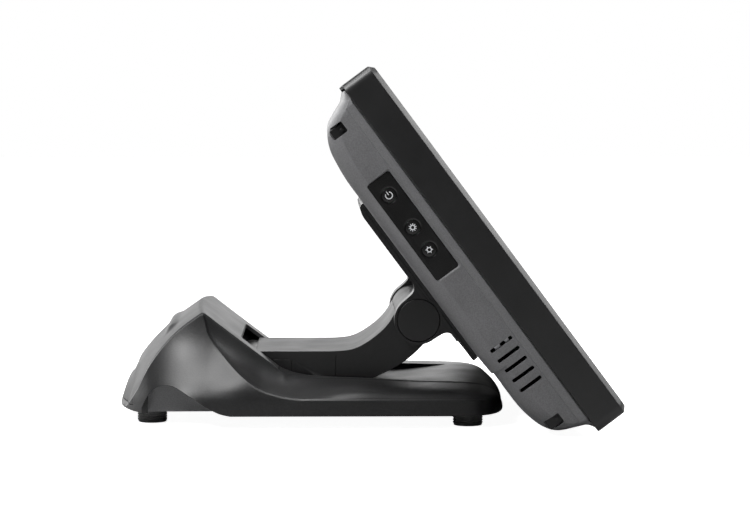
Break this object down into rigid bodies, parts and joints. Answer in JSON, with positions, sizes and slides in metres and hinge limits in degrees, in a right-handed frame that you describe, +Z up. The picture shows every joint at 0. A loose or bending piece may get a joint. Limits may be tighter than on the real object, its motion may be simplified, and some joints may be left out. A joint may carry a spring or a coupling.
{
  "type": "pos touchscreen terminal",
  "caption": "Touchscreen till computer: a framed flat screen on a swan-neck arm that hinges out of a low, humped counter base.",
  "frame": {"origin": "on the table under the middle of the bounding box, with the arm down in its trough", "axes": "+Z up, the screen faces -Y, +X to the user's right"},
  "size_m": [0.37, 0.3676, 0.263],
  "materials": {
    "charcoal_plastic": "fine moulded texture, satin",
    "grey_cover_plastic": "fine moulded texture, satin",
    "satin_black_plastic": "smooth satin",
    "gloss_black_plastic": "gloss",
    "screen_glass": "gloss, anti-glare film",
    "foot_rubber": "matt rubber",
    "steel": "zinc plated",
    "aluminium": "plain",
    "circuit_board": "solder mask",
    "nylon": "natural nylon"
  },
  "bodies": {
    "base": {"base_top_shell": "charcoal_plastic", "base_rear_cover": "grey_cover_plastic", "base_bottom_plate": "steel", "cable_arch_panel_left": "charcoal_plastic", "cable_arch_panel_right": "charcoal_plastic", "hinge_block_left": "steel", "hinge_block_right": "steel", "lift_nut_left": "steel", "lift_nut_right": "steel", "power_adapter": "satin_black_plastic", "power_inlet": "satin_black_plastic", "foot_front_left": "foot_rubber", "foot_front_right": "foot_rubber", "foot_rear_left": "foot_rubber", "foot_rear_right": "foot_rubber"},
    "arm": {"arm_body": "satin_black_plastic", "arm_top_cover": "grey_cover_plastic", "arm_frame": "steel", "lift_shaft": "steel", "tilt_shaft": "steel", "lift_friction_washer_left": "nylon", "lift_friction_washer_right": "nylon"},
    "head": {"front_bezel": "satin_black_plastic", "touch_glass": "screen_glass", "lcd_panel": "satin_black_plastic", "panel_frame": "steel", "mainboard": "circuit_board", "heat_sink": "aluminium", "storage_drive": "aluminium", "rear_housing": "charcoal_plastic", "port_cover": "charcoal_plastic", "button_panel": "gloss_black_plastic", "button_board": "circuit_board", "lock_plate": "steel", "latch_upper_left": "satin_black_plastic", "latch_lower_left": "satin_black_plastic", "latch_upper_right": "satin_black_plastic", "latch_lower_right": "satin_black_plastic", "speaker_left": "satin_black_plastic", "speaker_right": "satin_black_plastic", "tilt_bracket": "satin_black_plastic", "pivot_cap_left": "satin_black_plastic", "pivot_cap_right": "satin_black_plastic", "tilt_friction_washer_left": "nylon", "tilt_friction_washer_right": "nylon", "tilt_nut_left": "steel", "tilt_nut_right": "steel", "bracket_screw_upper_left": "steel", "bracket_screw_upper_right": "steel", "bracket_screw_lower_left": "steel", "bracket_screw_lower_right": "steel"},
    "power_key": {"power_button": "gloss_black_plastic"},
    "brightness_up_key": {"brightness_up_button": "gloss_black_plastic"},
    "brightness_down_key": {"brightness_down_button": "gloss_black_plastic"}
  },
  "joints": [
    {"name": "arm_lift", "type": "hinge", "parent": "base", "child": "arm", "pos_m": [0, 0.0853, 0.0334], "axis": [-1, 0, 0], "range_deg": [0, 45]},
    {"name": "head_tilt", "type": "hinge", "parent": "arm", "child": "head", "pos_m": [0, -0.04057, 0.07555], "axis": [-1, 0, 0], "range_deg": [0, 48]},
    {"name": "power_key_press", "type": "slide", "parent": "head", "child": "power_key", "axis": [1, 0, 0], "range_m": [0, 0.0008], "stiffness_N_per_m": 500, "springref_m": -0.0006},
    {"name": "brightness_up_key_press", "type": "slide", "parent": "head", "child": "brightness_up_key", "axis": [1, 0, 0], "range_m": [0, 0.0008], "stiffness_N_per_m": 500, "springref_m": -0.0006},
    {"name": "brightness_down_key_press", "type": "slide", "parent": "head", "child": "brightness_down_key", "axis": [1, 0, 0], "range_m": [0, 0.0008], "stiffness_N_per_m": 500, "springref_m": -0.0006}
  ]
}
